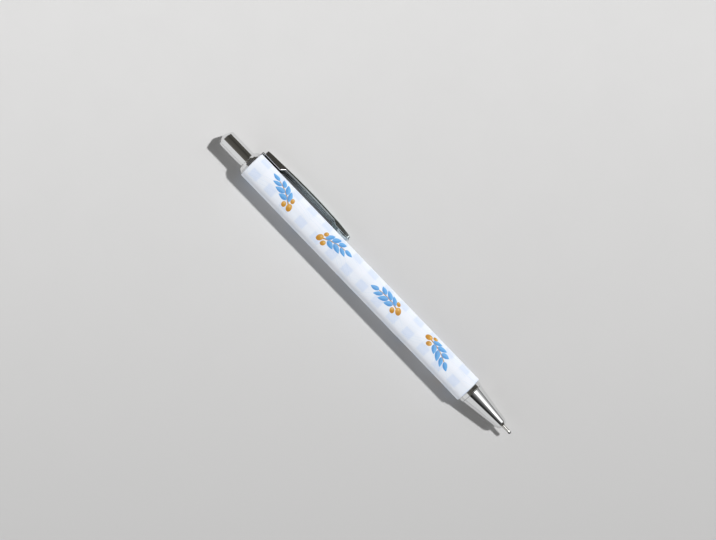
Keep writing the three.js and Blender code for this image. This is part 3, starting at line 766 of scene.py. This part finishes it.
# painted reflection: 0 up to 22.4 mm along the pen and 1 from 34 mm, where a blue-green cast is painted in for the pale
# blue barrel
barrel_reflection_tint = clip.data.attributes.new("barrel_reflection_tint", "FLOAT", "POINT")
ca, sa = math.cos(CLIP_ANGLE), math.sin(CLIP_ANGLE)
for k, v in enumerate(clip.data.vertices):
    y, z = v.co.y / MM, v.co.z / MM - AXIS_Z
    painted_shade_at.data[k].value = shaded_hollow(v.co.x / MM + HALF, y * ca + z * sa, z * ca - y * sa)
    barrel_reflection_tint.data[k].value = float(np.interp(v.co.x / MM + HALF, [22.4, 34.0], [0.0, 1.0]))
finish_piece(clip, "clip_chrome", None, ["clip", "clip_ring"])
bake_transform(clip)


# ------------------------------------------------------------------ push button
button = lathe(
    "push_button",
    [
        (0.0, 0.0), (0.0, 0.6, 0.45), (1.18, 2.89, 0.35), (1.5, 3.12, 0.3), (17.5, 3.12, 0.12), (17.5, 2.6, 0.1),
        (2.6, 2.6, 0.1), (2.2, 2.3, 0.2), (2.2, 0.0),
    ],
    seg=144, closed=False,
)
finish_piece(button, "chrome", "button", ["button_shell"])


# ------------------------------------------------------------------ nose
nose_ring = lathe(
    "nose_trim_ring",
    [(119.45, 3.68, 0.05), (120.95, 3.68, 0.05), (120.95, 4.41, 0.13), (119.45, 4.43, 0.13)],
    seg=160,
)
finish_piece(nose_ring, "chrome", "nose_carrier", ["nose_ring"])

outer_line = rounded(
    [
        (118.9, 3.3), (119.35, 3.42, 0.1), (121.05, 3.42, 0.03), (121.05, 4.15, 0.09), (135.35, 2.0, 0.9), (136.35, 1.35, 0.42),
        (136.35, 0.82, 0.08), (135.5, 0.82), (135.2, 1.3), (130.5, 1.3), (130.5, 2.2), (128.5, 2.35), (113.8, 2.35, 0.05),
        (113.8, 3.0, 0.1), (114.1, 3.3, 0.1), (115.0, 3.3),
    ],
    False, 8,
)
spigot = [(115.0 + 0.05 * k, 3.3) for k in range(79)]


def spigot_radius(p, r, a):
    return r + (0.25 * thread(p, a, 115.15, 118.65, 0.25) if abs(r - 3.3) < 1e-6 and 115.0 <= p <= 118.9 else 0.0)


nose_line = outer_line[:-1] + spigot
nose_line = [pt for k, pt in enumerate(nose_line) if k == 0 or math.dist(pt, nose_line[k - 1]) > 1e-4]
if math.dist(nose_line[0], nose_line[-1]) < 1e-4:
    nose_line.pop()
nose = new_object("nose_cone_shell", *lathe_parts(nose_line, 144, True, spigot_radius), sharp=40)
finish_piece(nose, "chrome", "nose", ["nose_cone"])


# ------------------------------------------------------------------ refill
BALL_AT = 139.5
refill_tube = lathe("ink_tube", [(33.0, 1.1, 0.05), (110.9, 1.1, 0.05), (110.9, 1.5, 0.08), (33.0, 1.5, 0.1)], seg=64)
finish_piece(refill_tube, "refill_plastic", "refill", ["refill_tube"])
ink = lathe("ink_fill", [(48.0, 0.0), (48.3, 0.7, 0.2), (48.15, 1.04, 0.05), (106.6, 1.04, 0.05), (106.6, 0.0)], seg=48, closed=False)
finish_piece(ink, "ink", "refill", ["ink_column"])
adaptor = lathe(
    "point_adaptor",
    [
        (106.9, 0.45, 0.05), (106.9, 0.95, 0.05), (107.2, 1.05, 0.1), (110.95, 1.05, 0.04), (110.95, 2.0, 0.12), (112.15, 2.0, 0.15),
        (112.2, 1.5, 0.06), (117.4, 1.4, 0.3), (118.0, 1.3, 0.1), (118.0, 0.85, 0.04), (113.0, 0.85, 0.04), (113.0, 0.45, 0.03),
    ],
    seg=72,
)
finish_piece(adaptor, "refill_plastic", "refill", ["refill_adaptor"])
point = lathe(
    "metal_point",
    [
        (113.1, 0.4, 0.03), (113.1, 0.8, 0.05), (118.05, 0.8, 0.04), (118.05, 1.15, 0.08), (133.1, 1.15, 0.3), (134.55, 0.64, 0.2),
        (139.0, 0.585, 0.3), (139.62, 0.545, 0.1), (139.8, 0.50, 0.03), (139.8, 0.47, 0.01), (139.6, 0.53, 0.03), (139.15, 0.53, 0.05), (138.98, 0.4, 0.03),
    ],
    seg=96,
)
ink_at = point.data.attributes.new("ink", "FLOAT", "POINT")
for k, v in enumerate(point.data.vertices):
    ink_at.data[k].value = float(np.interp(v.co.x / MM + HALF, [138.9, 139.3], [0.0, 1.0]))
finish_piece(point, "point_metal", "refill", ["refill_point"])

ball_line = [(BALL_AT - 0.5 * math.cos(math.pi * k / 40), 0.5 * math.sin(math.pi * k / 40)) for k in range(41)]
ball_line[0], ball_line[-1] = (BALL_AT - 0.5, 0.0), (BALL_AT + 0.5, 0.0)
ball = new_object("tip_ball", *lathe_parts(ball_line, 56, False))
finish_piece(ball, "ball_carbide", "ball", ["writing_ball"])


def coil():
    """The return spring: round wire, with closed and ground-looking end turns."""
    turns, per, around, wire, mean = 12, 40, 12, 0.2, 1.8
    start, end = 112.45, 130.25
    closed_turns, rise = 1.4 / turns, 0.055
    verts, faces, rings = [], [], []
    total = turns * per
    for i in range(total + 1):
        f = i / total
        a = 2 * math.pi * turns * f
        if f < closed_turns:
            s = rise * f / closed_turns
        elif f > 1 - closed_turns:
            s = 1 - rise * (1 - f) / closed_turns
        else:
            s = rise + (1 - 2 * rise) * (f - closed_turns) / (1 - 2 * closed_turns)
        p = start + (end - start) * s
        taper = min(1.0, 0.35 + i / 10, 0.35 + (total - i) / 10)
        ring = []
        for k in range(around):
            b = 2 * math.pi * k / around
            r = mean + wire * taper * math.cos(b)
            ring.append(len(verts))
            verts.append(place(p + wire * taper * math.sin(b), r * math.cos(a), r * math.sin(a)))
        rings.append(ring)
    for a, b in zip(rings, rings[1:]):
        for k in range(around):
            m = (k + 1) % around
            faces.append((a[k], a[m], b[m], b[k]))
    faces.append(tuple(rings[0]))
    faces.append(tuple(rings[-1][::-1]))
    return verts, faces


spring = new_object("coil_spring", *coil())
finish_piece(spring, "spring_steel", None, ["return_spring"])
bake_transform(spring)

# the moulded pieces of the click mechanism keep their CAD shape
for node, slot in (("cam_guide", "guide_acetal"), ("button_core", "guide_acetal"), ("cam_rotor", "cam_acetal")):
    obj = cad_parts[node]
    obj.data.materials.clear()
    obj.data.materials.append(MATS[slot])
    obj.data.shade_smooth()
    obj.data.set_sharp_from_angle(angle=math.radians(30))


# ------------------------------------------------------------------ floor
floor_mesh = bpy.data.meshes.new("floor")
size = 4.0
floor_mesh.from_pydata([(-size, -size, -2e-5), (size, -size, -2e-5), (size, size, -2e-5), (-size, size, -2e-5)], [], [(0, 1, 2, 3)])
floor = bpy.data.objects.new("floor", floor_mesh)
scene.collection.objects.link(floor)
mat, n, s = material("floor_card")
where, x, y, z = n.place()
mottle = n.noise(where, 55.0, 5.0, 0.6)
speck = n.noise(where, 900.0, 2.0)
# painted light fall-off: the surface's colour grows darker towards the lower edge of the camera's frame
along = n.math("ADD", n.math("MULTIPLY", x, UP.x), n.math("MULTIPLY", y, UP.y))
painted_light_falloff = n.smooth(along, -0.195, 0.205)
base = n.mix(painted_light_falloff, (0.463, 0.463, 0.466, 1.0), (0.745, 0.745, 0.75, 1.0))
base = n.mix(n.linear(mottle, 0.3, 0.7, 0.0, 0.07), base, (0.50, 0.50, 0.505, 1.0))
n.link(base, s.inputs["Base Color"])
n.link(n.linear(speck, 0.3, 0.7, 0.7, 0.85), s.inputs["Roughness"])
s.inputs["Specular IOR Level"].default_value = 0.2
n.link(n.bump(speck, 0.00004, 0.15), s.inputs["Normal"])
floor_mesh.materials.append(mat)


# ------------------------------------------------------------------ light
sun_data = bpy.data.lights.new("key", "SUN")
sun_data.energy = 3.14
sun_data.angle = math.radians(3.5)
sun_data.color = (1.0, 0.995, 0.985)
sun = bpy.data.objects.new("key", sun_data)
toward = Vector((0.36, 0.675, 1.0)).normalized()
sun.rotation_mode = "QUATERNION"
sun.rotation_quaternion = toward.to_track_quat("Z", "Y")
scene.collection.objects.link(sun)

# a weak fill from low on the -Y side, which the chrome does not mirror
fill_data = bpy.data.lights.new("fill", "SUN")
fill_data.energy = 1.60
fill_data.color = (1.0, 0.99, 0.975)
fill_data.angle = math.radians(4.0)
fill = bpy.data.objects.new("fill", fill_data)
fill.rotation_mode = "QUATERNION"
fill.rotation_quaternion = Vector((0.0, -1.0, 0.01)).normalized().to_track_quat("Z", "Y")
fill.visible_glossy = False
scene.collection.objects.link(fill)

world = bpy.data.worlds.new("studio")
scene.world = world
world.use_nodes = True
n = Nodes(world.node_tree)
coord = n.add("ShaderNodeTexCoord")
split = n.add("ShaderNodeSeparateXYZ")
world.node_tree.links.new(coord.outputs["Generated"], split.inputs[0])
dx, dy, dz = split.outputs
side = n.math("ABSOLUTE", dx)
up = n.math("ARCTAN2", dy, dz)


def by_height(stops, tint):
    """A brightness that depends on the angle from overhead towards +Y, from stops of (degrees, brightness)."""
    ramp = n.add("ShaderNodeValToRGB")
    low, high = stops[0][0], stops[-1][0]
    while len(ramp.color_ramp.elements) > 1:
        ramp.color_ramp.elements.remove(ramp.color_ramp.elements[0])
    for k, (deg, level) in enumerate(stops):
        at = (deg - low) / (high - low)
        stop = ramp.color_ramp.elements[0] if k == 0 else ramp.color_ramp.elements.new(at)
        stop.position = at
        stop.color = tuple(level * v for v in tint) + (1.0,)
    n.link(n.linear(up, math.radians(low), math.radians(high)), ramp.inputs[0])
    return ramp.outputs[0]


# a light wall and ceiling on the -Y side of a slanting edge, and a dark room on the other side
edge = n.math("ADD", n.math("ADD", dy, n.math("MULTIPLY", dz, 0.535)), n.math("ADD", n.math("MULTIPLY", dx, 0.061), n.math("MULTIPLY", side, 0.261)))
light_side = n.smooth(edge, -0.02, 0.02, 1.0, 0.0)
dim = by_height([(-40, 0.12), (-19, 0.12), (-6, 0.085), (10, 0.085), (24, 0.075), (38, 0.048), (59, 0.07), (76, 0.085), (84, 0.10), (88, 0.14), (90, 0.3)], (1.06, 1.0, 0.88))
# towards +X the dark room brightens up to a soft box, with a wall below it
bright = by_height([(-40, 0.02), (-18, 0.022), (-7.5, 0.063), (3, 0.14), (13.6, 0.25), (19.5, 0.36), (24.5, 1.2), (54, 1.2), (60, 0.44), (75, 0.41), (79, 0.18), (84, 0.16), (88, 0.3), (90, 0.4)], (1.0, 1.0, 1.0))
ahead = n.math("MULTIPLY", n.smooth(dx, 0.14, 0.20), n.smooth(dx, 0.50, 0.58, 1.0, 0.0))
room = n.mix(ahead, dim, bright)
room = n.mix(light_side, room, n.mix(n.smooth(dx, 0.0, 0.2), (0.765, 0.77, 0.77, 1.0), (0.705, 0.71, 0.71, 1.0)))
# the two ends of the room, which the chrome doesn't mirror
ends = n.smooth(side, 0.60, 0.68)
room = n.mix(n.math("MULTIPLY", ends, n.smooth(dz, 0.40, 0.50)), room, (0.105, 0.105, 0.107, 1.0))
below = n.smooth(dz, -0.02, 0.0, 1.0, 0.0)
room = n.mix(below, room, (0.55, 0.55, 0.555, 1.0))
studio = n.add("ShaderNodeBackground")
n.link(room, studio.inputs["Color"])
studio.inputs["Strength"].default_value = 1.0
plain = n.add("ShaderNodeBackground")
plain.inputs["Color"].default_value = (0.62, 0.62, 0.63, 1.0)
path = n.add("ShaderNodeLightPath")
mixer = n.add("ShaderNodeMixShader")
world.node_tree.links.new(path.outputs["Is Camera Ray"], mixer.inputs[0])
world.node_tree.links.new(studio.outputs[0], mixer.inputs[1])
world.node_tree.links.new(plain.outputs[0], mixer.inputs[2])
out = n.add("ShaderNodeOutputWorld")
world.node_tree.links.new(mixer.outputs[0], out.inputs["Surface"])

scene.view_settings.view_transform = "Standard"
scene.view_settings.look = "None"

bpy.context.view_layer.update()
